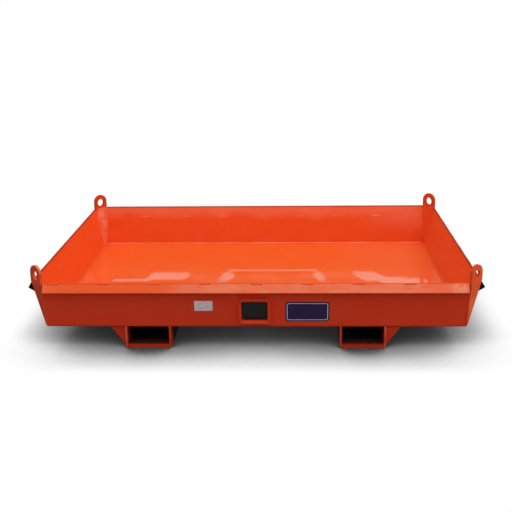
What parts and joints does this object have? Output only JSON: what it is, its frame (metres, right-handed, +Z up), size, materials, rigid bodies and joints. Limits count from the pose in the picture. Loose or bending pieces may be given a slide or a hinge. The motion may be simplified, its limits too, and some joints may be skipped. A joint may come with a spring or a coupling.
{
  "type": "concrete collection tray",
  "caption": "Shallow welded steel tray with flared walls, an angle rim, pierced lifting lugs across its corners and fork pockets under the floor, for collecting waste concrete on site.",
  "frame": {"origin": "on the ground, under the middle of the floor plate", "axes": "+X along the tray's length to its right end, -Y towards the front wall with the rating plate, +Z up"},
  "size_m": [1.9418, 1.4418, 0.3831],
  "materials": {
    "orange_enamel": "gloss enamel on welded steel plate, a little wavy, with the welds painted over",
    "black_plate": "satin black, bare of any writing",
    "rivet_metal": "dull bare metal",
    "label_vinyl": "off-white sheet, blank",
    "badge_vinyl": "dark blue sheet, blank, with a pale edge line"
  },
  "bodies": {
    "root": {"floor_plate": "orange_enamel", "front_wall": "orange_enamel", "rear_wall": "orange_enamel", "left_end_wall": "orange_enamel", "right_end_wall": "orange_enamel", "front_rim_angle": "orange_enamel", "rear_rim_angle": "orange_enamel", "left_rim_angle": "orange_enamel", "right_rim_angle": "orange_enamel", "rating_plate_guard": "orange_enamel", "floor_welds": "orange_enamel", "corner_outer_welds": "orange_enamel", "corner_inner_welds": "orange_enamel", "rim_upper_welds": "orange_enamel", "rim_lower_welds": "orange_enamel", "pocket_floor_welds": "orange_enamel", "pocket_bottom_welds": "orange_enamel", "gusset_welds": "orange_enamel", "guard_weld": "orange_enamel", "front_left_lug_plate": "orange_enamel", "front_right_lug_plate": "orange_enamel", "rear_right_lug_plate": "orange_enamel", "rear_left_lug_plate": "orange_enamel", "left_pocket_outer_plate": "orange_enamel", "left_pocket_inner_plate": "orange_enamel", "left_pocket_bottom_plate": "orange_enamel", "left_front_gusset": "orange_enamel", "left_rear_gusset": "orange_enamel", "right_pocket_outer_plate": "orange_enamel", "right_pocket_inner_plate": "orange_enamel", "right_pocket_bottom_plate": "orange_enamel", "right_front_gusset": "orange_enamel", "right_rear_gusset": "orange_enamel", "rating_plate": "black_plate", "rating_plate_rivets": "rivet_metal", "blank_label": "label_vinyl", "blank_badge": "badge_vinyl"}
  },
  "joints": []
}
